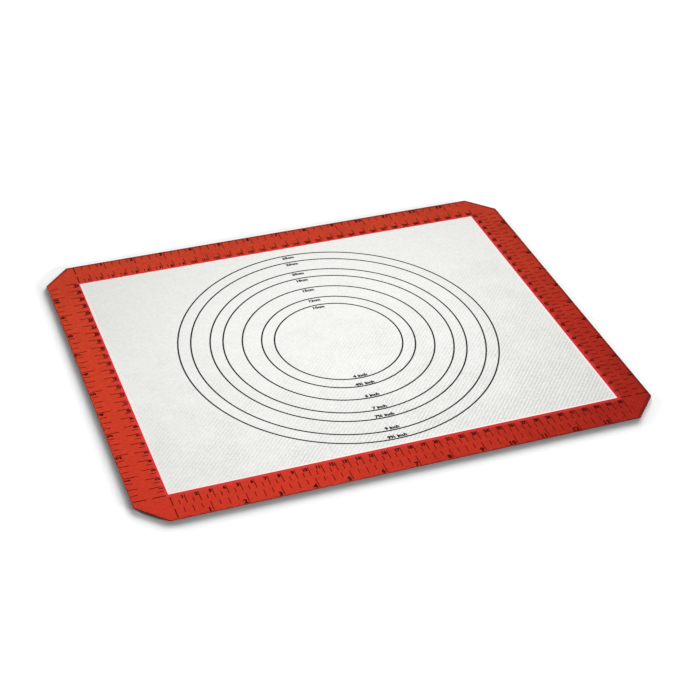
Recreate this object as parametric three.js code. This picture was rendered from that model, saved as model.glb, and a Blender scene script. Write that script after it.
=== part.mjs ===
// Baking mat: woven glass cloth between two silicone skins, with a red silicone border, a sealed
// round edge and printed guide circles. Millimetres, +Z up. The mat lies on z = 0, centred on the
// origin, with its long sides along X and its front edge towards -Y.

import * as THREE from "three";

// Outline
const matLength = 400;
const matWidth = 320;
const cornerCut = 20.5;

// Layers, from the underside up
const bottomSkinThickness = 0.25;
const clothThickness = 0.25;
const topSkinThickness = 0.25;
const borderThickness = 0.1;
const circleThickness = 0.05;

// Film of bonding silicone that keeps touching faces apart
const bondGap = 0.002;

// Border and sealed edge
const borderWidth = 26;
const sealWidth = 1.2;
const sealRoundSteps = 6;

// Guide circles: the largest keeps a margin to the border, and each next one is a step smaller
const circleMargin = 7;
const circleForwardShift = 2;
const circleLineWidth = 1.22;
const narrowStep = 20;
const wideStep = 30;
const circleSteps = [narrowStep, wideStep, narrowStep, wideStep, wideStep, narrowStep];
const circleSegments = 96;

// Colours and finishes
const paleSilicone = { color: 0xe9e9e4, roughness: 0.55, metalness: 0 };
const glassCloth = { color: 0xd9d4c3, roughness: 0.8, metalness: 0 };
const redSilicone = { color: 0xc4331f, roughness: 0.5, metalness: 0 };
const darkInk = { color: 0x3c3c3e, roughness: 0.6, metalness: 0 };

// Heights of the layers' lower faces, and of the whole mat
const clothLevel = bottomSkinThickness + bondGap;
const topSkinLevel = clothLevel + clothThickness + bondGap;
const printLevel = topSkinLevel + topSkinThickness + bondGap;
const matThickness = printLevel + borderThickness;

// The layers lie inside the sealed edge, and the border leaves a window in the middle
const layerInset = sealWidth + bondGap;
const windowLength = matLength - 2 * borderWidth;
const windowWidth = matWidth - 2 * borderWidth;

const mat = new THREE.Group();

// Corners of the mat's outline with its cut corners, anticlockwise, drawn in by a distance
function outlineCorners(inset) {
  const halfLength = matLength / 2 - inset;
  const halfWidth = matWidth / 2 - inset;
  const cut = cornerCut - inset * (2 - Math.SQRT2);
  return [
    new THREE.Vector2(halfLength, cut - halfWidth),
    new THREE.Vector2(halfLength, halfWidth - cut),
    new THREE.Vector2(halfLength - cut, halfWidth),
    new THREE.Vector2(cut - halfLength, halfWidth),
    new THREE.Vector2(-halfLength, halfWidth - cut),
    new THREE.Vector2(-halfLength, cut - halfWidth),
    new THREE.Vector2(cut - halfLength, -halfWidth),
    new THREE.Vector2(halfLength - cut, -halfWidth),
  ];
}

// Corners of the window in the border, anticlockwise
function windowCorners() {
  return [
    new THREE.Vector2(-windowLength / 2, -windowWidth / 2),
    new THREE.Vector2(windowLength / 2, -windowWidth / 2),
    new THREE.Vector2(windowLength / 2, windowWidth / 2),
    new THREE.Vector2(-windowLength / 2, windowWidth / 2),
  ];
}

function addPiece(name, geometry, finish) {
  const piece = new THREE.Mesh(geometry, new THREE.MeshStandardMaterial(finish));
  piece.name = name;
  mat.add(piece);
  return piece;
}

// A flat layer of one shape, lying at a height
function addLayer(name, shape, level, thickness, finish) {
  const geometry = new THREE.ExtrudeGeometry(shape, {
    depth: thickness,
    bevelEnabled: false,
    curveSegments: circleSegments / 2,
  });
  const layer = addPiece(name, geometry, finish);
  layer.position.z = level;
  return layer;
}

function borderShape() {
  const shape = new THREE.Shape(outlineCorners(layerInset));
  shape.holes.push(new THREE.Path(windowCorners()));
  return shape;
}

// A printed circle, whose line has its middle at the circle's diameter
function circleShape(diameter) {
  const shape = new THREE.Shape();
  shape.absarc(0, 0, (diameter + circleLineWidth) / 2, 0, 2 * Math.PI);
  const hole = new THREE.Path();
  hole.absarc(0, 0, (diameter - circleLineWidth) / 2, 0, 2 * Math.PI);
  shape.holes.push(hole);
  return shape;
}

// Section of the sealed edge: from the inner wall's foot, round the rim, to the inner wall's top
function sealSection() {
  const rimRadius = matThickness / 2;
  const section = [{ inset: sealWidth, level: 0 }];
  for (let step = 0; step <= sealRoundSteps; step += 1) {
    const angle = Math.PI * (step / sealRoundSteps - 0.5);
    section.push({
      inset: rimRadius * (1 - Math.cos(angle)),
      level: rimRadius * (1 + Math.sin(angle)),
    });
  }
  section.push({ inset: sealWidth, level: matThickness });
  return section;
}

// The section carried round the outline, mitred at each corner
function sealGeometry() {
  const rows = sealSection().map(({ inset, level }) =>
    outlineCorners(inset).map((corner) => new THREE.Vector3(corner.x, corner.y, level)),
  );
  const corners = rows[0].length;
  const triangles = [];
  rows.forEach((row, rowIndex) => {
    const nextRow = (rowIndex + 1) % rows.length;
    for (let corner = 0; corner < corners; corner += 1) {
      const nextCorner = (corner + 1) % corners;
      const a = rowIndex * corners + corner;
      const b = rowIndex * corners + nextCorner;
      const c = nextRow * corners + nextCorner;
      const d = nextRow * corners + corner;
      triangles.push(a, b, c, a, c, d);
    }
  });
  const geometry = new THREE.BufferGeometry().setFromPoints(rows.flat());
  geometry.setIndex(triangles);
  geometry.computeVertexNormals();
  return geometry;
}

const layerShape = new THREE.Shape(outlineCorners(layerInset));
addLayer("bottom_skin", layerShape, 0, bottomSkinThickness, paleSilicone);
addLayer("glass_cloth_core", layerShape, clothLevel, clothThickness, glassCloth);
addLayer("top_skin", layerShape, topSkinLevel, topSkinThickness, paleSilicone);
addLayer("red_border", borderShape(), printLevel, borderThickness, redSilicone);
addPiece("edge_seal", sealGeometry(), redSilicone);

const largestDiameter = Math.min(
  windowLength - 2 * circleMargin,
  windowWidth - 2 * (circleMargin + circleForwardShift),
);
const circleDiameters = [largestDiameter];
circleSteps.forEach((step) => circleDiameters.push(circleDiameters.at(-1) - step));
circleDiameters.forEach((diameter, place) => {
  const name = `guide_circle_${place + 1}`;
  const circle = addLayer(name, circleShape(diameter), printLevel, circleThickness, darkInk);
  circle.position.y = -circleForwardShift;
});

export default mat;
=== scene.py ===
"""Baking mat: a woven silicone sheet with a red scale border and printed pastry circles.

Everything is in metres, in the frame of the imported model. The mat lies flat on z = 0, its front edge
is towards -Y, and each print lies on the coat that carries it.
"""

import math
from typing import NamedTuple

import bmesh
import bpy
from bpy.props import FloatProperty, FloatVectorProperty, IntProperty, PointerProperty
from mathutils import Matrix, Quaternion, Vector


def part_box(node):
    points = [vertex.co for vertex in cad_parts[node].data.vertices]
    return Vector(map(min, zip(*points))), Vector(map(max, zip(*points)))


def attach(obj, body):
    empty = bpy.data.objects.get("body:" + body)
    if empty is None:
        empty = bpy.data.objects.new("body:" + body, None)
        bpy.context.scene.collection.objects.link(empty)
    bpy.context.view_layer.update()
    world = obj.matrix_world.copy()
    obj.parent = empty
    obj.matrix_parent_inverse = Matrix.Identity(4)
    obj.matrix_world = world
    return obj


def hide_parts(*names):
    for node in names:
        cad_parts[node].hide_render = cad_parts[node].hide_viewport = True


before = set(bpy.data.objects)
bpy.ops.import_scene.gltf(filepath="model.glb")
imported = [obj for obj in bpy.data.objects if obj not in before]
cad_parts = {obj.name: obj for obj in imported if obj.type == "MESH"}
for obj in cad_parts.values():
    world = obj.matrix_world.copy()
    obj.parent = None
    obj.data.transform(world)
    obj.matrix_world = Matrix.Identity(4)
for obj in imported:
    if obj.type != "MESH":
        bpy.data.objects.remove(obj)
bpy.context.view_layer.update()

bl_info = {
    "name": "Baking Mat",
    "version": (1, 0, 0),
    "blender": (4, 5, 0),
    "location": "View3D > Sidebar > Baking Mat",
    "description": "Builds a woven silicone baking mat with printed scales and pastry circles",
    "category": "Add Mesh",
}

MM = 0.001
BODY = "root"
CIRCLES = sorted(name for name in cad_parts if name.startswith("guide_circle_"))
# Corners of a node that lie this close together are on the same face
SAME_FACE = 0.001 * MM


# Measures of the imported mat
def node_corners(name):
    """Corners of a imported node, in the row frame."""
    return [vertex.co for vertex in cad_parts[name].data.vertices]


def circle_measures(name):
    """Centre of a packed circle and its diameter, to the middle of its line."""
    lowest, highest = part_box(name)
    centre = (lowest + highest) / 2
    inner = min((corner.xy - centre.xy).length for corner in node_corners(name))
    return centre, inner + highest.x - centre.x


SEAL_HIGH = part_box("edge_seal")[1]
HALF_LENGTH = SEAL_HIGH.x
HALF_WIDTH = SEAL_HIGH.y
MAT_TOP = SEAL_HIGH.z
SKIN_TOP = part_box("top_skin")[1].z
LAYER_INSET = HALF_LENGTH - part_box("top_skin")[1].x
WINDOW_HALF_LENGTH = min(abs(corner.x) for corner in node_corners("red_border"))
WINDOW_HALF_WIDTH = min(abs(corner.y) for corner in node_corners("red_border"))
RIGHT_EDGE = [
    corner for corner in node_corners("edge_seal") if HALF_LENGTH - corner.x < SAME_FACE
]
CORNER_CUT = HALF_WIDTH - max(corner.y for corner in RIGHT_EDGE)


# Settings that a user may change
def length_setting(name, default, description):
    """A length that a user may change."""
    return FloatProperty(name=name, description=description, default=default, unit="LENGTH")


def colour_setting(name, default, description):
    """A colour that a user may change."""
    return FloatVectorProperty(
        name=name, description=description, default=default, subtype="COLOR", min=0.0, max=1.0
    )


class MatSizes(bpy.types.PropertyGroup):
    """Sizes of the cloth, the coats and the printed circles."""

    warp_pitch: length_setting(
        "Warp pitch", 0.868 * MM, "Distance from one warp thread to the next, along the mat's length"
    )
    weft_pitch: length_setting(
        "Weft pitch", 0.947 * MM, "Distance from one weft thread to the next, along the mat's width"
    )
    twill_repeat: IntProperty(
        name="Twill repeat",
        description="Threads after which the twill repeats: two over and two under",
        default=4,
        min=2,
    )
    rib_relief: length_setting(
        "Rib relief",
        0.045 * MM,
        "Height of the twill's diagonal ribs above and below the coat's mean level",
    )
    border_relief: length_setting(
        "Border relief", 0.02 * MM, "Height of the ribs that still show through the thicker red coat"
    )
    rib_facets: IntProperty(
        name="Facets per rib",
        description="Strips of faces across one rib",
        default=6,
        min=3,
    )
    thread_relief: length_setting(
        "Thread relief", 0.02 * MM, "Height of the single threads that show through the silicone"
    )
    rim_corner: length_setting(
        "Rim corner", 0.8 * MM, "Rounding of the rim where it turns round a corner of the outline"
    )
    circle_line: length_setting("Circle line", 1.22 * MM, "Width of the printed circles' lines")
    circle_steps: IntProperty(
        name="Circle steps",
        description="Steps round each printed circle",
        default=192,
        min=24,
    )


class ScaleSizes(bpy.types.PropertyGroup):
    """Sizes of the centimetre and inch scales on the red border."""

    tick_width: length_setting("Tick width", 0.55 * MM, "Width of an ordinary tick")
    zero_width: length_setting(
        "Zero tick width", 0.7 * MM, "Width of the first tick of each scale"
    )
    ink_height: length_setting(
        "Ink height", 0.02 * MM, "How far the ink stands above the ribs of its coat"
    )
    ink_round: length_setting("Ink round", 0.012 * MM, "Rounding of the ticks' upper edges")
    centimetre_tick: length_setting(
        "Centimetre tick", 9.3 * MM, "Length of the tick at each whole centimetre"
    )
    half_centimetre_tick: length_setting(
        "Half centimetre tick", 4.5 * MM, "Length of the tick halfway between two centimetres"
    )
    inch_tick: length_setting("Inch tick", 9.6 * MM, "Length of the tick at each whole inch")
    half_inch_tick: length_setting(
        "Half inch tick", 6.8 * MM, "Length of the tick at each half inch"
    )
    quarter_inch_tick: length_setting(
        "Quarter inch tick", 4.8 * MM, "Length of the tick at each quarter inch"
    )
    overrun: length_setting(
        "Overrun", 2.5 * MM, "How far the scales may run on past the window's far corner"
    )
    edge_gap: length_setting(
        "Edge gap", 0.9 * MM, "From the mat's edge to the inch ticks, where these start at that edge"
    )
    window_gap: length_setting(
        "Window gap",
        2.2 * MM,
        "From the window to the centimetre ticks, where these start at the window",
    )
    centimetre_base: length_setting(
        "Centimetre base",
        11.6 * MM,
        "From the window to the foot of the centimetre ticks, where they start in mid border",
    )
    inch_base: length_setting(
        "Inch base",
        14.8 * MM,
        "From the window to the head of the inch ticks, where they start in mid border",
    )
    centimetre_number: length_setting(
        "Centimetre number", 3.0 * MM, "Height of the numbers on the centimetre scales"
    )
    inch_number: length_setting(
        "Inch number", 3.7 * MM, "Height of the numbers on the inch scales"
    )
    number_gap: length_setting("Number gap", 0.5 * MM, "From a centimetre number to its tick")
    inch_number_gap: length_setting("Inch number gap", 0.8 * MM, "From an inch number to its tick")
    number_margin: length_setting(
        "Number margin",
        2.75 * MM,
        "From the window to the centimetre numbers on the front and the back",
    )
    side_number_margin: length_setting(
        "Side number margin",
        1.7 * MM,
        "From the window to the centimetre numbers on the left and the right",
    )
    number_stretch: FloatProperty(
        name="Number stretch",
        description="Width of the centimetre numbers' figures as a share of the font's own",
        default=0.85,
    )
    inch_number_stretch: FloatProperty(
        name="Inch number stretch",
        description="Width of the inch numbers' figures as a share of the font's own",
        default=1.05,
    )
    number_weight: length_setting(
        "Number weight", 0.29 * MM, "How far the strokes of the numbers are thickened on each side"
    )
    slip: FloatVectorProperty(
        name="Slip",
        description="How far the printed scales lie off the mat's middle",
        default=(0.3 * MM, -0.6 * MM, 0.0),
        subtype="TRANSLATION",
        unit="LENGTH",
    )


class LabelSizes(bpy.types.PropertyGroup):
    """Sizes of the diameters that are printed beside the circles."""

    height: length_setting("Height", 2.8 * MM, "Height of the labels' figures")
    stretch: FloatProperty(
        name="Stretch",
        description="Width of the labels' letters as a share of the font's own",
        default=1.12,
    )
    weight: length_setting(
        "Weight", 0.25 * MM, "How far the labels' strokes are thickened on each side"
    )
    shift: length_setting(
        "Shift", -0.1 * MM, "From the mat's middle to the labels' middle, along the mat's length"
    )
    below_line: length_setting(
        "Below line", 4.65 * MM, "From a circle's line down to the foot of its centimetre label"
    )
    above_line: length_setting(
        "Above line", 1.5 * MM, "From a circle's line up to the foot of its inch label"
    )


class Finishes(bpy.types.PropertyGroup):
    """Colours of the silicones and the inks."""

    pale: colour_setting(
        "Pale silicone", (0.872, 0.875, 0.843), "Colour of the window and the underside"
    )
    # The glass cloth's colour with painted shade, between the ribs
    pale_valley: colour_setting(
        "Pale silicone in the valleys",
        (0.688, 0.688, 0.659),
        "Colour between the ribs, where the glass cloth shows through",
    )
    # The red where no painted shade or painted sheen lies
    red: colour_setting(
        "Red silicone", (0.598, 0.0335, 0.0135), "Colour of the border where its coat is bright"
    )
    # A painted sheen, lighter and warmer towards the back
    red_warm: colour_setting(
        "Warm red silicone",
        (0.635, 0.058, 0.021),
        "Colour of the border where its coat is thin, towards the back",
    )
    red_thin: colour_setting(
        "Thin red silicone",
        (0.76, 0.042, 0.055),
        "Colour of the border where its coat runs out at the window",
    )
    pale_glow: colour_setting(
        "Pale silicone by the border",
        (0.99, 0.86, 0.83),
        "Colour of the window where the red border shines into it",
    )
    # Painted shade, deepest at the front right and in the rib valleys
    red_deep: colour_setting(
        "Deep red silicone", (0.285, 0.010, 0.005), "Colour of the border where its coat is deep"
    )
    scale_ink: colour_setting(
        "Scale ink", (0.035, 0.0025, 0.001), "Colour of the ticks and numbers on the border"
    )
    circle_ink: colour_setting(
        "Circle ink", (0.02, 0.02, 0.021), "Colour of the circles and their labels"
    )


class StageSettings(bpy.types.PropertyGroup):
    """Floor, lamps and camera."""

    floor_reach: length_setting("Floor reach", 30.0, "From the mat's middle to the floor's edge")
    floor: colour_setting("Floor", (0.9, 0.9, 0.9), "Colour of the floor")
    ambient: FloatProperty(
        name="Ambient",
        description="Strength of the light that comes from all round",
        default=0.05,
    )
    overhead_power: FloatProperty(
        name="Overhead lamp",
        description="Power of the soft lamp over the mat",
        default=2.87,
        unit="POWER",
    )
    side_power: FloatProperty(
        name="Side lamp",
        description="Power of the lamp at the back left that brings out the ribs",
        default=116.0,
        unit="POWER",
    )
    floor_light: FloatProperty(
        name="Floor light",
        description="Light on the open floor from the low lights that draw the mat's soft shadow",
        default=3.58,
    )
    rim_light: FloatProperty(
        name="Rim light",
        description="Strength of the low lamp that picks out the near rim",
        default=1.5,
    )
    lens: FloatProperty(
        name="Lens",
        description="Focal length in millimetres on a 36 mm sensor",
        default=82.52,
    )
    shift: FloatProperty(
        name="Shift",
        description="How far the picture lies right of the lens, as a share of its width",
        default=0.04,
    )


class BakingMatSettings(bpy.types.PropertyGroup):
    """All that a user may change on the baking mat."""

    mat: PointerProperty(type=MatSizes)
    scales: PointerProperty(type=ScaleSizes)
    labels: PointerProperty(type=LabelSizes)
    finishes: PointerProperty(type=Finishes)
    stage: PointerProperty(type=StageSettings)


def settings():
    """All the values that the steps build from."""
    return bpy.context.scene.baking_mat


# Shapes
CUT_TOLERANCE = 1e-7
LEVEL_TOLERANCE = 0.01 * MM
# Faces that meet at a larger angle than this show an edge
SMOOTH_UP_TO = math.radians(35)
# Strips of a ribbed layer for each cut across the ribs
STRIPS_PER_CROSS_CUT = 40
# Steps round the rim's corners and over its edge, and the edge's rounding as a share of its height
RIM_CORNER_STEPS = 4
RIM_EDGE_STEPS = 6
RIM_EDGE_ROUND = 0.49
INK_ROUND_STEPS = 1


def outline_corners(inset):
    """Corners of the mat's outline with its cut corners, anticlockwise, drawn in by a distance."""
    x = HALF_LENGTH - inset
    y = HALF_WIDTH - inset
    cut = CORNER_CUT - inset * (2 - math.sqrt(2))
    corners = [
        (x, cut - y), (x, y - cut), (x - cut, y), (cut - x, y),
        (-x, y - cut), (-x, cut - y), (cut - x, -y), (x - cut, -y),
    ]
    return [Vector((*corner, 0)) for corner in corners]


def window_corners():
    """Corners of the window in the border, anticlockwise."""
    x, y = WINDOW_HALF_LENGTH, WINDOW_HALF_WIDTH
    return [Vector((*corner, 0)) for corner in ((-x, -y), (x, -y), (x, y), (-x, y))]


def outside_by(place):
    """How far a place lies outside the mat's outline, negative inside it."""
    past_cut = abs(place.x) + abs(place.y) - HALF_LENGTH - HALF_WIDTH + CORNER_CUT
    return max(abs(place.x) - HALF_LENGTH, abs(place.y) - HALF_WIDTH, past_cut / math.sqrt(2))


def in_window(face):
    """True for a face whose middle lies in the window."""
    middle = face.calc_center_median()
    return abs(middle.x) < WINDOW_HALF_LENGTH and abs(middle.y) < WINDOW_HALF_WIDTH


def rib_wave():
    """Direction across the twill's ribs, and the distance from one rib to the next."""
    sizes = settings().mat
    wave = Vector((1 / sizes.warp_pitch, -1 / sizes.weft_pitch, 0)) / sizes.twill_repeat
    return wave.normalized(), 1 / wave.length


def rib_rise(place, relief):
    """Height of ribs of some relief at a place on the mat, above their mean level."""
    across, pitch = rib_wave()
    return relief * math.cos(math.tau * place.dot(across) / pitch)


def cut_along(shape, corners, keep_outside):
    """Cuts a flat shape along an outline, and drops what lies outside it unless that is kept."""
    for start, end in zip(corners, corners[1:] + corners[:1]):
        along = end - start
        bmesh.ops.bisect_plane(
            shape,
            geom=shape.verts[:] + shape.edges[:] + shape.faces[:],
            dist=CUT_TOLERANCE,
            plane_co=start,
            plane_no=Vector((along.y, -along.x, 0)),
            clear_outer=not keep_outside,
        )


def ribbed_layer():
    """A flat layer that fills the outline inside the rim, divided along the twill's ribs."""
    across, pitch = rib_wave()
    reach = math.hypot(HALF_LENGTH, HALF_WIDTH)
    step = pitch / settings().mat.rib_facets
    strips = 2 * math.ceil(reach / step)
    turn = Matrix.Rotation(math.atan2(across.y, across.x), 4, "Z")
    spread = Matrix.Diagonal((strips * step, strips * step, 1, 1))
    shape = bmesh.new()
    bmesh.ops.create_grid(
        shape,
        x_segments=strips,
        y_segments=strips // STRIPS_PER_CROSS_CUT,
        size=0.5,
        matrix=turn @ spread,
    )
    cut_along(shape, outline_corners(LAYER_INSET), keep_outside=False)
    return shape


def upper_corners(grown):
    """Corners of the faces that an extrusion has made."""
    return [item for item in grown["geom"] if isinstance(item, bmesh.types.BMVert)]


def thicken(shape, low, high, relief, ribbed_below):
    """Gives a flat layer its thickness, with ribs of some relief above and, if wanted, below."""
    grown = bmesh.ops.extrude_face_region(shape, geom=shape.faces[:])
    upper = set(upper_corners(grown))
    for vertex in shape.verts:
        rise = rib_rise(vertex.co, relief)
        if vertex in upper:
            vertex.co.z = high + rise
        else:
            vertex.co.z = low + rise if ribbed_below else low
    bmesh.ops.recalc_face_normals(shape, faces=shape.faces[:])


def round_off(shape, parts, affect, radius, segments):
    """Rounds some corners or edges of a shape."""
    bmesh.ops.bevel(
        shape,
        geom=parts,
        affect=affect,
        offset=radius,
        offset_type="OFFSET",
        segments=segments,
        profile=0.5,
        material=-1,
        clamp_overlap=True,
    )


def is_outer_lip(edge):
    """True for an edge of the rim's outer wall that runs along its top or its foot."""
    start, end = edge.verts
    if abs(start.co.z - end.co.z) > LEVEL_TOLERANCE:
        return False
    return all(outside_by(vertex.co) > -LAYER_INSET / 2 for vertex in edge.verts)


def rim_shape():
    """The rim round the layers: a strip along the outline, as high as the mat and rounded outside."""
    shape = bmesh.new()
    shape.faces.new([shape.verts.new(corner) for corner in outline_corners(0.0)])
    round_off(shape, shape.verts[:], "VERTICES", settings().mat.rim_corner, RIM_CORNER_STEPS)
    inset = bmesh.ops.inset_region(
        shape, faces=shape.faces[:], thickness=LAYER_INSET, use_even_offset=True, use_boundary=True
    )
    middle = [face for face in shape.faces if face not in inset["faces"]]
    bmesh.ops.delete(shape, geom=middle, context="FACES")
    grown = bmesh.ops.extrude_face_region(shape, geom=shape.faces[:])
    bmesh.ops.translate(shape, vec=(0, 0, MAT_TOP), verts=upper_corners(grown))
    bmesh.ops.recalc_face_normals(shape, faces=shape.faces[:])
    lips = [edge for edge in shape.edges if is_outer_lip(edge)]
    round_off(shape, lips, "EDGES", MAT_TOP * RIM_EDGE_ROUND, RIM_EDGE_STEPS)
    return shape


def ring_shape(centre, diameter, low, high):
    """A printed circle: the section of its line, turned once round the centre."""
    sizes = settings().mat
    inner = (diameter - sizes.circle_line) / 2
    outer = (diameter + sizes.circle_line) / 2
    section = ((inner, low), (outer, low), (outer, high), (inner, high))
    shape = bmesh.new()
    corners = [shape.verts.new((radius, 0, level)) for radius, level in section]
    for start, end in zip(corners, corners[1:] + corners[:1]):
        shape.edges.new((start, end))
    bmesh.ops.spin(
        shape,
        geom=shape.verts[:] + shape.edges[:],
        cent=(0, 0, 0),
        axis=(0, 0, 1),
        angle=math.tau,
        steps=sizes.circle_steps,
        use_merge=True,
    )
    bmesh.ops.recalc_face_normals(shape, faces=shape.faces[:])
    bmesh.ops.translate(shape, vec=(centre.x, centre.y, 0), verts=shape.verts[:])
    return shape


def smooth_faces(shape):
    """Shades the faces smooth, apart from sharp edges."""
    for face in shape.faces:
        face.smooth = True
    for edge in shape.edges:
        edge.smooth = edge.calc_face_angle(0.0) < SMOOTH_UP_TO


def make_piece(name, shape, material, replaced=()):
    """Makes a finished piece of the mat from its shape, riding on the mat's body."""
    mesh = bpy.data.meshes.new(name)
    shape.to_mesh(mesh)
    shape.free()
    mesh.materials.append(material)
    piece = bpy.data.objects.new(name, mesh)
    bpy.context.scene.collection.objects.link(piece)
    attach(piece, BODY)
    if replaced:
        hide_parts(*replaced)


# Scales
RIGHTWARDS = Vector((1, 0, 0))
BACKWARDS = Vector((0, 1, 0))
UPWARDS = Vector((0, 0, 1))
CENTIMETRE = 10 * MM
INCH = 25.4 * MM
QUARTERS = ("", "¼", "½", "¾")
# Height of a figure in the built-in font, at a font size of one
FIGURE_SHARE = 0.682
# A text is made one unit thick, so its faces lie half a unit from its middle
HALF_THICK = 0.5
FACE_TOLERANCE = 1e-6
LETTER_CURVE_STEPS = 2
MERGE_DISTANCE = 0.0005 * MM


class Side(NamedTuple):
    """One side of the border as its scales are read."""

    name: str
    along: Vector
    up: Vector
    length: float
    window_edge: float
    mat_edge: float

    def window_above(self):
        """True where the window lies above the border, as its scales are read."""
        return self.window_edge > self.mat_edge

    def place(self, distance, height):
        """Point at a distance along the scale and a height across it."""
        start = settings().scales.slip - self.along * self.length / 2
        return start + self.along * distance + self.up * height

    def turn(self):
        """Turns a print from the mat's axes to this side's."""
        return Matrix((self.along, self.up, UPWARDS)).transposed().to_4x4()


SIDES = [
    Side("front", RIGHTWARDS, BACKWARDS, 2 * WINDOW_HALF_LENGTH, -WINDOW_HALF_WIDTH, -HALF_WIDTH),
    Side("back", RIGHTWARDS, BACKWARDS, 2 * WINDOW_HALF_LENGTH, WINDOW_HALF_WIDTH, HALF_WIDTH),
    Side("left", BACKWARDS, -RIGHTWARDS, 2 * WINDOW_HALF_WIDTH, WINDOW_HALF_LENGTH, HALF_LENGTH),
    Side("right", BACKWARDS, -RIGHTWARDS, 2 * WINDOW_HALF_WIDTH, -WINDOW_HALF_LENGTH, -HALF_LENGTH),
]


class TextStyle(NamedTuple):
    """How a text is printed."""

    height: float
    weight: float
    stretch: float
    align: str


class Scale(NamedTuple):
    """One printed scale of a side: its ticks start at a base line and run up or down from it."""

    side: Side
    unit: str
    division: float
    lengths: tuple
    base: float
    upwards: bool
    numbers: TextStyle
    number_foot: float
    number_gap: float

    def tick_count(self):
        """Number of ticks that fit on the side, with the first one at nought."""
        return int((self.side.length + settings().scales.overrun) / self.division) + 1

    def tick_length(self, count):
        """Length of a tick by its place in the unit: whole, half or quarter."""
        return self.lengths[count % len(self.lengths)]


def centimetre_scale(side):
    """Ticks at each half centimetre, nearest to the window."""
    sizes = settings().scales
    height = sizes.centimetre_number
    margin = sizes.number_margin if side.up == BACKWARDS else sizes.side_number_margin
    if side.window_above():
        base = side.window_edge - sizes.centimetre_base
        number_foot = side.window_edge - margin - height
    else:
        base = side.window_edge + sizes.window_gap
        number_foot = side.window_edge + margin
    lengths = (sizes.centimetre_tick, sizes.half_centimetre_tick)
    numbers = TextStyle(height, sizes.number_weight, sizes.number_stretch, "RIGHT")
    return Scale(
        side, "cm", CENTIMETRE / 2, lengths, base, True, numbers, number_foot, sizes.number_gap
    )


def inch_scale(side):
    """Ticks at each quarter inch, nearest to the mat's edge."""
    sizes = settings().scales
    if side.window_above():
        base = side.window_edge - sizes.inch_base
        number_foot = base - sizes.inch_tick
    else:
        base = side.mat_edge - sizes.edge_gap
        number_foot = base - sizes.inch_number
    quarter = sizes.quarter_inch_tick
    lengths = (sizes.inch_tick, quarter, sizes.half_inch_tick, quarter)
    numbers = TextStyle(sizes.inch_number, sizes.number_weight, sizes.inch_number_stretch, "RIGHT")
    return Scale(
        side, "inch", INCH / 4, lengths, base, False, numbers, number_foot, sizes.inch_number_gap
    )


def all_scales():
    """The eight scales, two on each side."""
    return [make(side) for side in SIDES for make in (centimetre_scale, inch_scale)]


def inch_words(diameter):
    """A diameter in inches, to the nearest quarter."""
    whole, quarter = divmod(round(diameter / INCH * len(QUARTERS)), len(QUARTERS))
    return f"{whole}{QUARTERS[quarter]}"


def ink_levels(coat_top):
    """Lower and upper level of a print on a coat: from under its ribs to just above them."""
    relief = settings().mat.rib_relief
    return coat_top - 2 * relief, coat_top + relief + settings().scales.ink_height


def ticks_shape(scale):
    """All ticks of one scale as thin bars with rounded upper edges."""
    sizes = settings().scales
    low, high = ink_levels(MAT_TOP)
    side = scale.side
    shape = bmesh.new()
    for count in range(scale.tick_count()):
        length = scale.tick_length(count)
        width = sizes.zero_width if count == 0 else sizes.tick_width
        middle = scale.base + (length / 2 if scale.upwards else -length / 2)
        centre = side.place(count * scale.division, middle) + UPWARDS * (low + high) / 2
        bar = Matrix.Diagonal((width, length, high - low, 1))
        bmesh.ops.create_cube(shape, size=1, matrix=Matrix.Translation(centre) @ side.turn() @ bar)
    rims = [edge for edge in shape.edges if all(vertex.co.z > MAT_TOP for vertex in edge.verts)]
    round_off(shape, rims, "EDGES", sizes.ink_round, INK_ROUND_STEPS)
    return shape


def lies_level(face):
    """True for a face on the front or the back of a text."""
    return all(abs(abs(vertex.co.z) - HALF_THICK) < FACE_TOLERANCE for vertex in face.verts)


def text_mesh(text, style):
    """Text as a mesh on its base line, one unit thick, with its strokes thickened."""
    curve = bpy.data.curves.new("text", "FONT")
    curve.body = text
    curve.align_x = style.align
    curve.size = style.height / FIGURE_SHARE
    curve.bevel_depth = style.weight
    curve.bevel_resolution = 0
    curve.extrude = HALF_THICK - style.weight
    curve.resolution_u = LETTER_CURVE_STEPS
    holder = bpy.data.objects.new("text", curve)
    bpy.context.scene.collection.objects.link(holder)
    bpy.context.view_layer.update()
    evaluated = holder.evaluated_get(bpy.context.evaluated_depsgraph_get())
    mesh = bpy.data.meshes.new_from_object(evaluated)
    bpy.data.objects.remove(holder)
    bpy.data.curves.remove(curve)
    return mesh


def text_shape(text, style):
    """Text as a closed print on its base line, one unit thick."""
    mesh = text_mesh(text, style)
    shape = bmesh.new()
    shape.from_mesh(mesh)
    bpy.data.meshes.remove(mesh)
    bmesh.ops.remove_doubles(shape, verts=shape.verts[:], dist=MERGE_DISTANCE)
    level_faces = [face for face in shape.faces if lies_level(face)]
    level_edges = [edge for edge in shape.edges if all(lies_level(face) for face in edge.link_faces)]
    bmesh.ops.beautify_fill(shape, faces=level_faces, edges=level_edges, method="ANGLE")
    bmesh.ops.recalc_face_normals(shape, faces=shape.faces[:])
    bmesh.ops.scale(shape, vec=(style.stretch, 1, 1), verts=shape.verts[:])
    return shape


def print_text(shape, text, style, foot, turn, coat_top):
    """Adds text to a shape as ink on a coat, with its foot at a place."""
    low, high = ink_levels(coat_top)
    letters = text_shape(text, style)
    level = Matrix.Translation((foot.x, foot.y, (low + high) / 2))
    thin = Matrix.Diagonal((1, 1, high - low, 1))
    bmesh.ops.transform(letters, matrix=level @ turn @ thin, verts=letters.verts[:])
    mesh = bpy.data.meshes.new("letters")
    letters.to_mesh(mesh)
    letters.free()
    shape.from_mesh(mesh)
    bpy.data.meshes.remove(mesh)


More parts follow.
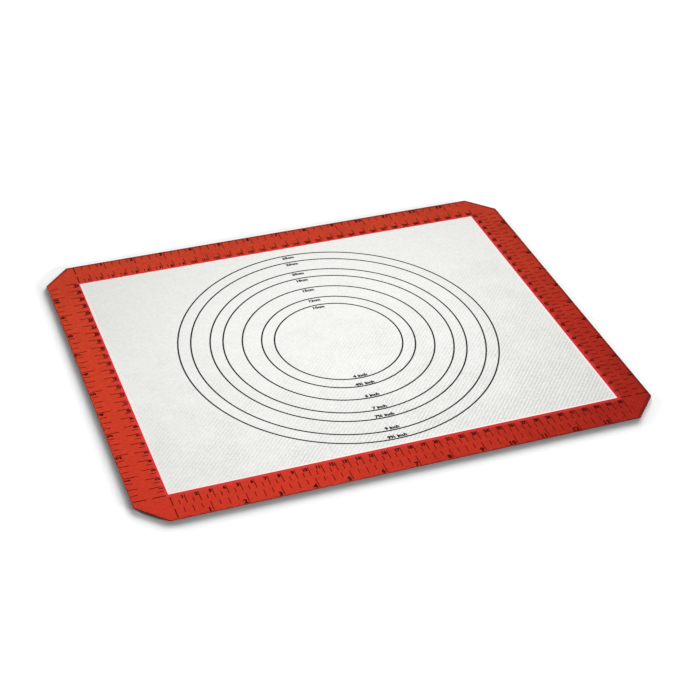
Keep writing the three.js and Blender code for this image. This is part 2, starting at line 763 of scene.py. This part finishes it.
def numbers_shape(scale):
    """The numbers of one scale, each just before its tick."""
    side = scale.side
    ticks_per_number = len(scale.lengths)
    before_tick = settings().scales.tick_width / 2 + scale.number_gap
    shape = bmesh.new()
    for number in range(1, (scale.tick_count() - 1) // ticks_per_number + 1):
        distance = number * scale.division * ticks_per_number - before_tick
        foot = side.place(distance, scale.number_foot)
        print_text(shape, str(number), scale.numbers, foot, side.turn(), MAT_TOP)
    return shape


# Materials
class Ramp(NamedTuple):
    """A value that goes evenly from one end of a span to the other, and no further."""

    start: float
    end: float
    at_start: float
    at_end: float


class Mottle(NamedTuple):
    """Uneven patches: how fine they are, and between which values they vary."""

    scale: float
    detail: float
    least: float
    most: float
    noise_low: float = 0.3
    noise_high: float = 0.7


SILICONE_ROUGHNESS = Mottle(60.0, 2.0, 0.5, 0.62)
SILICONE_SHINE = 0.08
INK_ROUGHNESS = Mottle(200.0, 2.0, 0.55, 0.7)
INK_SHINE = 0.02
FLOOR_ROUGHNESS = 1.0
FLOOR_SHINE = 0.0
# A share kept between nought and one, and a wave taken as such a share
SHARE = Ramp(0.0, 1.0, 0.0, 1.0)
WAVE_SHARE = Ramp(-1.0, 1.0, 0.0, 1.0)

# Pale silicone: the rib valleys show the glass cloth and painted shade, more to the front and, by a
# share of that, to the right
VALLEY_SHADE_TO_RIGHT = 0.3
PALE_VALLEY_SHADE = Ramp(-0.055, 0.165, 0.0, 1.0)
PALE_PATCHES = Mottle(45.0, 3.0, -0.07, 0.07)
# The yarns are drawn out along the mat's width
YARN_DRAW = (1.0, 0.4, 1.0)
YARNS = Mottle(1000.0, 2.0, -0.6, 0.6)
# Painted light and shade: lighter towards two opposite corners, darker to the back and at the ends; and
# the silicone's own patchy tone
CORNER_SHADE = Ramp(-0.02, 0.02, 0.965, 1.035)
BACK_SHADE = Ramp(-0.13, 0.13, 1.005, 0.985)
END_SHADE = Ramp(0.08, 0.16, 1.0, 0.972)
PALE_CLOUDS = Mottle(14.0, 4.0, 0.974, 1.0)
PALE_MOTTLE = Mottle(500.0, 3.0, 0.955, 1.045)
# Where the red border shines into the window, on the upper face alone
BORDER_GLOW = Ramp(-2.2 * MM, -0.5 * MM, 0.0, 1.0)
UPPER_FACE = Ramp(0.2 * MM, 0.5 * MM, 0.0, 1.0)

# Red silicone: painted shade that deepens to the right, by more at the front than at the back
PAINTED_SHADE_TO_RIGHT = Ramp(-HALF_WIDTH, HALF_WIDTH, 3.1, 0.3)
MIDDLE_PAINTED_SHADE = 0.295
# Painted shade, deeper in the rib valleys and lighter on the crests
RIB_VALLEY_SHADE = Ramp(0.0, 1.0, 0.04, -0.03)
RED_CLOUDS = Mottle(25.0, 3.0, -0.08, 0.08)
RED_MOTTLE = Mottle(260.0, 3.0, -0.09, 0.09)
# Painted sheen, growing towards the back
SHEEN_TO_BACK = Ramp(-HALF_WIDTH, HALF_WIDTH, 0.0, 1.0)
THIN_AT_WINDOW = Ramp(0.0, 4.3 * MM, 0.75, 0.0)
# Painted shade along the right and back edges and along the whole rim, and fine grains of the
# silicone's own tone
FAR_EDGE_SHADE = Ramp(1.0 * MM, 3.0 * MM, 0.34, 1.0)
RIM_SHADE = Ramp(0.7 * MM, 1.5 * MM, 0.4, 1.0)
RED_GRAIN = Mottle(450.0, 3.0, 0.89, 1.11)

# Ink: where it lies thin it is lighter
THIN_INK = 2.2
INK_PATCHES = Mottle(900.0, 3.0, 0.0, 1.0, 0.45, 0.75)


class Nodes:
    """Short ways to add nodes to a tree and to link them."""

    def __init__(self, tree):
        self.tree = tree

    def feed(self, socket, value):
        """Links an input to a socket, or sets it to a value."""
        if isinstance(value, bpy.types.NodeSocket):
            self.tree.links.new(value, socket)
        else:
            socket.default_value = value

    def fill(self, node, **inputs):
        """Links or sets the inputs of a node, by their names."""
        for name, value in inputs.items():
            self.feed(node.inputs[name.replace("_", " ")], value)
        return node

    def add(self, kind, **inputs):
        """Adds a node with its inputs."""
        return self.fill(self.tree.nodes.new(kind), **inputs)

    def math(self, operation, first, second=0.0):
        """Sum, product or other result of two values."""
        node = self.tree.nodes.new("ShaderNodeMath")
        node.operation = operation
        self.feed(node.inputs[0], first)
        self.feed(node.inputs[1], second)
        return node.outputs[0]

    def mix(self, share, first, second, blend="MIX"):
        """Colour between two others, by a share."""
        node = self.tree.nodes.new("ShaderNodeMix")
        node.data_type = "RGBA"
        node.blend_type = blend
        self.fill(node, Factor=share, A=first, B=second)
        return node.outputs["Result"]

    def shaded(self, colour, shade):
        """A colour made darker or lighter."""
        tint = self.add("ShaderNodeCombineColor", Red=shade, Green=shade, Blue=shade)
        return self.mix(1.0, colour, tint.outputs["Color"], "MULTIPLY")

    def ramp(self, value, ramp):
        """What a ramp gives for a value."""
        node = self.add(
            "ShaderNodeMapRange",
            Value=value,
            From_Min=ramp.start,
            From_Max=ramp.end,
            To_Min=ramp.at_start,
            To_Max=ramp.at_end,
        )
        return node.outputs["Result"]

    def mottle(self, place, mottle):
        """What a mottle gives at a place."""
        noise = self.add("ShaderNodeTexNoise", Vector=place, Scale=mottle.scale, Detail=mottle.detail)
        ramp = Ramp(mottle.noise_low, mottle.noise_high, mottle.least, mottle.most)
        return self.ramp(noise.outputs["Fac"], ramp)

    def axes(self, place):
        """A place along X, Y and Z."""
        return self.add("ShaderNodeSeparateXYZ", Vector=place).outputs


def rgba(colour):
    """A colour that covers fully."""
    return (*colour, 1.0)


def new_material(name):
    """A material that is made of nodes."""
    material = bpy.data.materials.new(name)
    material.use_nodes = True
    return material


def twill_tree():
    """Node group of the twill: the share of rib at a place, and the height of its threads."""
    found = bpy.data.node_groups.get("Twill")
    if found:
        return found
    sizes = settings().mat
    tree = bpy.data.node_groups.new("Twill", "ShaderNodeTree")
    tree.interface.new_socket("Place", in_out="INPUT", socket_type="NodeSocketVector")
    tree.interface.new_socket("Rib", in_out="OUTPUT", socket_type="NodeSocketFloat")
    tree.interface.new_socket("Threads", in_out="OUTPUT", socket_type="NodeSocketFloat")
    nodes = Nodes(tree)
    x, y = nodes.axes(nodes.add("NodeGroupInput").outputs["Place"])[:2]
    warp = nodes.math("MULTIPLY", x, math.tau / sizes.warp_pitch)
    weft = nodes.math("MULTIPLY", y, math.tau / sizes.weft_pitch)
    phase = nodes.math("DIVIDE", nodes.math("SUBTRACT", warp, weft), float(sizes.twill_repeat))
    rib = nodes.ramp(nodes.math("COSINE", phase), WAVE_SHARE)
    warp_height = nodes.math("MULTIPLY", nodes.math("COSINE", warp), rib)
    weft_share = nodes.math("SUBTRACT", 1.0, rib)
    weft_height = nodes.math("MULTIPLY", nodes.math("COSINE", weft), weft_share)
    threads = nodes.math("ADD", warp_height, weft_height)
    nodes.add("NodeGroupOutput", Rib=rib, Threads=nodes.ramp(threads, WAVE_SHARE))
    return tree


class Coat(Nodes):
    """The nodes of a new material over the twill, from the place on a piece to the shader."""

    def __init__(self, name):
        self.material = new_material(name)
        super().__init__(self.material.node_tree)
        self.place = self.add("ShaderNodeTexCoord").outputs["Object"]
        twill = self.tree.nodes.new("ShaderNodeGroup")
        twill.node_tree = twill_tree()
        self.fill(twill, Place=self.place)
        self.rib = twill.outputs["Rib"]
        self.threads = twill.outputs["Threads"]

    def outside_window(self, x, y):
        """How far a place lies outside the window, negative inside it."""
        beside = self.math("SUBTRACT", self.math("ABSOLUTE", x), WINDOW_HALF_LENGTH)
        beyond = self.math("SUBTRACT", self.math("ABSOLUTE", y), WINDOW_HALF_WIDTH)
        return self.math("MAXIMUM", beside, beyond)

    def inside_edges(self, x, y):
        """How far a place lies in from the right and the back edge and from the cuts at their ends."""
        from_right = self.math("SUBTRACT", HALF_LENGTH, x)
        from_back = self.math("SUBTRACT", HALF_WIDTH, y)
        end_cuts = self.math("ABSOLUTE", self.math("SUBTRACT", x, y))
        towards_cut = self.math("MAXIMUM", self.math("ADD", x, y), end_cuts)
        past_cut = self.math("SUBTRACT", HALF_LENGTH + HALF_WIDTH - CORNER_CUT, towards_cut)
        from_cut = self.math("DIVIDE", past_cut, math.sqrt(2))
        return self.math("MINIMUM", self.math("MINIMUM", from_right, from_back), from_cut)

    def finish(self, colour, roughness, shine):
        """The material with its colour, roughness and shine, in relief over the threads."""
        depth = settings().mat.thread_relief
        relief = self.add("ShaderNodeBump", Height=self.threads, Distance=depth, Strength=1.0)
        self.fill(
            self.tree.nodes["Principled BSDF"],
            Base_Color=colour,
            Roughness=self.mottle(self.place, roughness),
            Specular_IOR_Level=shine,
            Normal=relief.outputs["Normal"],
        )
        return self.material


def pale_silicone():
    """Pale silicone over glass cloth, which shows in the twill's valleys with painted shade, most at
    the front right; painted light and shade over the window.
    """
    colours = settings().finishes
    coat = Coat("ribbed_pale_silicone")
    x, y, z = coat.axes(coat.place)
    # Painted shade in the rib valleys, over the glass cloth's colour there, growing to the front and
    # the right
    slope = coat.math("SUBTRACT", coat.math("MULTIPLY", x, VALLEY_SHADE_TO_RIGHT), y)
    patchy_slope = coat.math("ADD", slope, coat.mottle(coat.place, PALE_PATCHES))
    mix_share = coat.ramp(patchy_slope, PALE_VALLEY_SHADE)
    valley = coat.mix(mix_share, rgba(colours.pale), rgba(colours.pale_valley))
    drawn_out = coat.add("ShaderNodeMapping", Vector=coat.place, Scale=YARN_DRAW)
    yarns = coat.mottle(drawn_out.outputs["Vector"], YARNS)
    cloth = coat.mix(coat.math("ADD", coat.rib, yarns), valley, rgba(colours.pale))
    # Painted light and shade over the window, with the silicone's own patchy tone
    shade = coat.mottle(coat.place, PALE_CLOUDS)
    for other_shade in (
        coat.ramp(coat.math("MULTIPLY", x, y), CORNER_SHADE),
        coat.mottle(coat.place, PALE_MOTTLE),
        coat.ramp(y, BACK_SHADE),
        coat.ramp(coat.math("ABSOLUTE", x), END_SHADE),
    ):
        shade = coat.math("MULTIPLY", shade, other_shade)
    beside_border = coat.ramp(coat.outside_window(x, y), BORDER_GLOW)
    glow = coat.math("MULTIPLY", beside_border, coat.ramp(z, UPPER_FACE))
    colour = coat.mix(glow, coat.shaded(cloth, shade), rgba(colours.pale_glow))
    return coat.finish(colour, SILICONE_ROUGHNESS, SILICONE_SHINE)


def red_silicone():
    """Red silicone: bright at the left, a painted sheen at the back, painted shade at the front right,
    in the rib valleys, along the far edges and round the rim.
    """
    found = bpy.data.materials.get("border_silicone")
    if found:
        return found
    colours = settings().finishes
    coat = Coat("border_silicone")
    x, y = coat.axes(coat.place)[:2]
    # Painted shade, deeper to the right and in the rib valleys, made uneven by the silicone's own
    # patches
    slope = coat.math("MULTIPLY", x, coat.ramp(y, PAINTED_SHADE_TO_RIGHT))
    depth = coat.math("ADD", slope, MIDDLE_PAINTED_SHADE)
    patches = [coat.mottle(coat.place, mottle) for mottle in (RED_CLOUDS, RED_MOTTLE)]
    unevenness = coat.math("ADD", coat.math("ADD", *patches), coat.ramp(coat.rib, RIB_VALLEY_SHADE))
    shade_and_mottle = coat.ramp(coat.math("ADD", depth, unevenness), SHARE)
    # Painted sheen that grows towards the back
    bright = coat.mix(coat.ramp(y, SHEEN_TO_BACK), rgba(colours.red), rgba(colours.red_warm))
    full = coat.mix(shade_and_mottle, bright, rgba(colours.red_deep))
    mix_share = coat.ramp(coat.outside_window(x, y), THIN_AT_WINDOW)
    spread = coat.mix(mix_share, full, rgba(colours.red_thin))
    # Painted shade along the far edges and round the whole rim, with the silicone's own grain
    far_edges = coat.ramp(coat.inside_edges(x, y), FAR_EDGE_SHADE)
    any_edge = coat.inside_edges(coat.math("ABSOLUTE", x), coat.math("ABSOLUTE", y))
    edges = coat.math("MINIMUM", far_edges, coat.ramp(any_edge, RIM_SHADE))
    shade = coat.math("MULTIPLY", edges, coat.mottle(coat.place, RED_GRAIN))
    return coat.finish(coat.shaded(spread, shade), SILICONE_ROUGHNESS, SILICONE_SHINE)


def printed_ink(name, ink):
    """Matt ink that lies over the threads and is a little uneven."""
    coat = Coat(name)
    thin = rgba([channel * THIN_INK for channel in ink])
    colour = coat.mix(coat.mottle(coat.place, INK_PATCHES), rgba(ink), thin)
    return coat.finish(colour, INK_ROUGHNESS, INK_SHINE)


def scale_ink():
    """Ink of the ticks and numbers on the border."""
    found = bpy.data.materials.get("scale_ink")
    return found or printed_ink("scale_ink", settings().finishes.scale_ink)


def circle_ink():
    """Ink of the circles and their labels."""
    found = bpy.data.materials.get("circle_ink")
    return found or printed_ink("circle_ink", settings().finishes.circle_ink)


# Stage
class SoftLamp(NamedTuple):
    """A round lamp: its place, the point it shines at and its diameter."""

    place: Vector
    target: Vector
    size: float


class LowLight(NamedTuple):
    """A distant lamp: degrees from +X towards +Y, above the floor and across, and its share."""

    azimuth: float
    elevation: float
    spread: float
    share: float


OVERHEAD_LAMP = SoftLamp(Vector((0.03, -0.035, 0.58)), Vector((0.03, -0.035, 0)), 0.3)
SIDE_LAMP = SoftLamp(Vector((-3.1, 2.9, 2.7)), Vector((0, 0, 0)), 1.25)
RIM_LIGHT = LowLight(-98, 5.0, 10.0, 1.0)
FLOOR_LIGHTS = [
    LowLight(-36, 3.6, 4.5, 0.163),
    LowLight(120, 3.6, 4.5, 0.129),
    LowLight(60, 4.5, 5.5, 0.171),
    LowLight(24, 5.8, 7.5, 0.108),
    LowLight(48, 5.8, 7.5, 0.249),
    LowLight(72, 5.8, 7.5, 0.180),
]
WHITE = (1, 1, 1, 1)
CAMERA_PLACE = Vector((-374.06, -937.92, 742.62)) * MM
CAMERA_TARGET = Vector((-16.75, -10.17, 0.86)) * MM
CAMERA_ROLL = math.radians(1.978)
SENSOR_WIDTH = 36


def make_floor():
    """The wide pale floor that the mat lies on."""
    stage = settings().stage
    shape = bmesh.new()
    bmesh.ops.create_grid(shape, x_segments=1, y_segments=1, size=stage.floor_reach)
    mesh = bpy.data.meshes.new("floor")
    shape.to_mesh(mesh)
    shape.free()
    material = new_material("pale_floor")
    Nodes(material.node_tree).fill(
        material.node_tree.nodes["Principled BSDF"],
        Base_Color=rgba(stage.floor),
        Roughness=FLOOR_ROUGHNESS,
        Specular_IOR_Level=FLOOR_SHINE,
    )
    mesh.materials.append(material)
    floor = bpy.data.objects.new("floor", mesh)
    bpy.context.scene.collection.objects.link(floor)
    return floor


def lit_group(name, lit, state):
    """Group that lets a lamp light one object alone, or everything but that object."""
    group = bpy.data.collections.new(name)
    group.objects.link(lit)
    group.collection_objects[0].light_linking.link_state = state
    return group


def add_lamp(name, kind, direction, strength, group):
    """A lamp that shines in a direction on a group."""
    lamp = bpy.data.objects.new(name, bpy.data.lights.new(name, kind))
    lamp.data.energy = strength
    lamp.rotation_euler = direction.to_track_quat("-Z", "Y").to_euler()
    lamp.light_linking.receiver_collection = group
    bpy.context.scene.collection.objects.link(lamp)
    return lamp


def add_soft_lamp(name, light, power, group):
    """A round lamp near the mat."""
    lamp = add_lamp(name, "AREA", light.target - light.place, power, group)
    lamp.location = light.place
    lamp.data.shape = "DISK"
    lamp.data.size = light.size


def add_low_light(name, light, strength, group):
    """A distant lamp low over the floor."""
    turn = Matrix.Rotation(math.radians(light.azimuth), 3, "Z")
    rise = Matrix.Rotation(-math.radians(light.elevation), 3, "Y")
    lamp = add_lamp(name, "SUN", -(turn @ rise @ RIGHTWARDS), strength, group)
    lamp.data.angle = math.radians(light.spread)


def light_mat(floor):
    """Soft studio lamps over the mat. The floor has lamps of its own."""
    stage = settings().stage
    group = lit_group("lit_by_studio", floor, "EXCLUDE")
    add_soft_lamp("overhead", OVERHEAD_LAMP, stage.overhead_power, group)
    add_soft_lamp("back_left", SIDE_LAMP, stage.side_power, group)


def light_rim(rim):
    """A low lamp at the front that picks out the near rim."""
    group = lit_group("lit_by_rim_light", rim, "INCLUDE")
    add_low_light("rim_light", RIM_LIGHT, settings().stage.rim_light, group)


def light_floor(floor):
    """Low lights, most of them at the back right, which draw the mat's soft shadow."""
    group = lit_group("lit_by_floor_lights", floor, "INCLUDE")
    for light in FLOOR_LIGHTS:
        strength = settings().stage.floor_light * light.share / math.sin(math.radians(light.elevation))
        add_low_light(f"floor_light_{light.azimuth}", light, strength, group)


def light_world(scene):
    """Soft light from all round, from a background that looks white, also in what mirrors it."""
    world = bpy.data.worlds.new("studio")
    world.use_nodes = True
    nodes = Nodes(world.node_tree)
    ray = nodes.add("ShaderNodeLightPath").outputs
    mirrored = nodes.math("MAXIMUM", ray["Is Glossy Ray"], ray["Is Transmission Ray"])
    seen = nodes.math("MAXIMUM", ray["Is Camera Ray"], mirrored)
    strength = nodes.ramp(seen, Ramp(0.0, 1.0, settings().stage.ambient, 1.0))
    nodes.fill(world.node_tree.nodes["Background"], Color=WHITE, Strength=strength)
    scene.world = world


def aim_camera(scene):
    """Camera at the photographed view: above the front left, a little rolled."""
    stage = settings().stage
    data = bpy.data.cameras.new("camera")
    data.sensor_width = SENSOR_WIDTH
    data.lens = stage.lens
    data.shift_x = stage.shift
    camera = bpy.data.objects.new("camera", data)
    camera.location = CAMERA_PLACE
    look = (CAMERA_TARGET - CAMERA_PLACE).to_track_quat("-Z", "Y")
    camera.rotation_euler = (look @ Quaternion((0, 0, 1), CAMERA_ROLL)).to_euler()
    scene.collection.objects.link(camera)
    scene.camera = camera


# Operators
class MAT_OT_woven_sheet(bpy.types.Operator):
    """Make the woven sheet with its pale silicone faces"""

    bl_idname = "baking_mat.woven_sheet"
    bl_label = "Woven Sheet"

    def execute(self, context):
        relief = settings().mat.rib_relief
        shape = ribbed_layer()
        thicken(shape, relief, SKIN_TOP, relief, ribbed_below=True)
        smooth_faces(shape)
        make_piece(
            "woven_sheet",
            shape,
            pale_silicone(),
            ("bottom_skin", "glass_cloth_core", "top_skin"),
        )
        return {"FINISHED"}


class MAT_OT_red_border(bpy.types.Operator):
    """Make the red silicone coat round the window"""

    bl_idname = "baking_mat.red_border"
    bl_label = "Red Border"

    def execute(self, context):
        sizes = settings().mat
        shape = ribbed_layer()
        cut_along(shape, window_corners(), keep_outside=True)
        window = [face for face in shape.faces if in_window(face)]
        bmesh.ops.delete(shape, geom=window, context="FACES")
        foot = SKIN_TOP - 2 * sizes.rib_relief
        thicken(shape, foot, MAT_TOP, sizes.border_relief, ribbed_below=False)
        smooth_faces(shape)
        make_piece("red_border_coat", shape, red_silicone(), ("red_border",))
        return {"FINISHED"}


class MAT_OT_edge_rim(bpy.types.Operator):
    """Make the rounded rim that seals the mat's edge"""

    bl_idname = "baking_mat.edge_rim"
    bl_label = "Edge Rim"

    def execute(self, context):
        shape = rim_shape()
        smooth_faces(shape)
        make_piece("edge_rim", shape, red_silicone(), ("edge_seal",))
        return {"FINISHED"}


class MAT_OT_guide_circles(bpy.types.Operator):
    """Make the printed pastry circles"""

    bl_idname = "baking_mat.guide_circles"
    bl_label = "Guide Circles"

    def execute(self, context):
        for name in CIRCLES:
            shape = ring_shape(*circle_measures(name), *ink_levels(SKIN_TOP))
            smooth_faces(shape)
            make_piece(name.replace("guide", "printed"), shape, circle_ink(), (name,))
        return {"FINISHED"}


class MAT_OT_circle_labels(bpy.types.Operator):
    """Print the diameters at the back and the front of each circle"""

    bl_idname = "baking_mat.circle_labels"
    bl_label = "Circle Labels"

    def execute(self, context):
        sizes = settings().labels
        style = TextStyle(sizes.height, sizes.weight, sizes.stretch, "CENTER")
        centimetres = bmesh.new()
        inches = bmesh.new()
        for name in CIRCLES:
            centre, diameter = circle_measures(name)
            back = Vector((sizes.shift, centre.y + diameter / 2 - sizes.below_line, 0))
            front = Vector((sizes.shift, centre.y - diameter / 2 + sizes.above_line, 0))
            for shape, text, foot in (
                (centimetres, f"{diameter / CENTIMETRE:.0f}cm", back),
                (inches, f"{inch_words(diameter)} inch", front),
            ):
                print_text(shape, text, style, foot, Matrix.Identity(4), SKIN_TOP)
        make_piece("circle_labels_cm", centimetres, circle_ink())
        make_piece("circle_labels_inch", inches, circle_ink())
        return {"FINISHED"}


class MAT_OT_scale_ticks(bpy.types.Operator):
    """Print the ticks of the centimetre and inch scales on the border"""

    bl_idname = "baking_mat.scale_ticks"
    bl_label = "Scale Ticks"

    def execute(self, context):
        for scale in all_scales():
            name = f"{scale.side.name}_{scale.unit}_ticks"
            make_piece(name, ticks_shape(scale), scale_ink())
        return {"FINISHED"}


class MAT_OT_scale_numbers(bpy.types.Operator):
    """Print the numbers of the centimetre and inch scales on the border"""

    bl_idname = "baking_mat.scale_numbers"
    bl_label = "Scale Numbers"

    def execute(self, context):
        for scale in all_scales():
            name = f"{scale.side.name}_{scale.unit}_numbers"
            make_piece(name, numbers_shape(scale), scale_ink())
        return {"FINISHED"}


class MAT_OT_stage(bpy.types.Operator):
    """Make the floor, the lamps and the camera"""

    bl_idname = "baking_mat.stage"
    bl_label = "Stage"

    def execute(self, context):
        floor = make_floor()
        light_mat(floor)
        light_rim(bpy.data.objects["edge_rim"])
        light_floor(floor)
        light_world(context.scene)
        aim_camera(context.scene)
        context.scene.view_settings.view_transform = "Standard"
        return {"FINISHED"}


STEPS = [
    MAT_OT_woven_sheet,
    MAT_OT_red_border,
    MAT_OT_edge_rim,
    MAT_OT_guide_circles,
    MAT_OT_circle_labels,
    MAT_OT_scale_ticks,
    MAT_OT_scale_numbers,
    MAT_OT_stage,
]


class MAT_PT_panel(bpy.types.Panel):
    """The steps that build the baking mat"""

    bl_idname = "MAT_PT_panel"
    bl_label = "Baking Mat"
    bl_space_type = "VIEW_3D"
    bl_region_type = "UI"
    bl_category = "Baking Mat"

    def draw(self, context):
        column = self.layout.column()
        for step in STEPS:
            column.operator(step.bl_idname)
        for group in BakingMatSettings.__annotations__:
            box = self.layout.box()
            box.label(text=group.title())
            values = getattr(context.scene.baking_mat, group)
            for name in values.__annotations__:
                box.prop(values, name)


CLASSES = [
    MatSizes,
    ScaleSizes,
    LabelSizes,
    Finishes,
    StageSettings,
    BakingMatSettings,
    *STEPS,
    MAT_PT_panel,
]


def register():
    """Makes the settings, the steps and the panel known to Blender."""
    for each in CLASSES:
        bpy.utils.register_class(each)
    bpy.types.Scene.baking_mat = PointerProperty(type=BakingMatSettings)


def unregister():
    """Takes them out again."""
    del bpy.types.Scene.baking_mat
    for each in reversed(CLASSES):
        bpy.utils.unregister_class(each)


def main():
    """Builds the mat on its stage."""
    register()
    bpy.ops.baking_mat.woven_sheet()
    bpy.ops.baking_mat.red_border()
    bpy.ops.baking_mat.edge_rim()
    bpy.ops.baking_mat.guide_circles()
    bpy.ops.baking_mat.circle_labels()
    bpy.ops.baking_mat.scale_ticks()
    bpy.ops.baking_mat.scale_numbers()
    bpy.ops.baking_mat.stage()


if __name__ == "__main__":
    main()
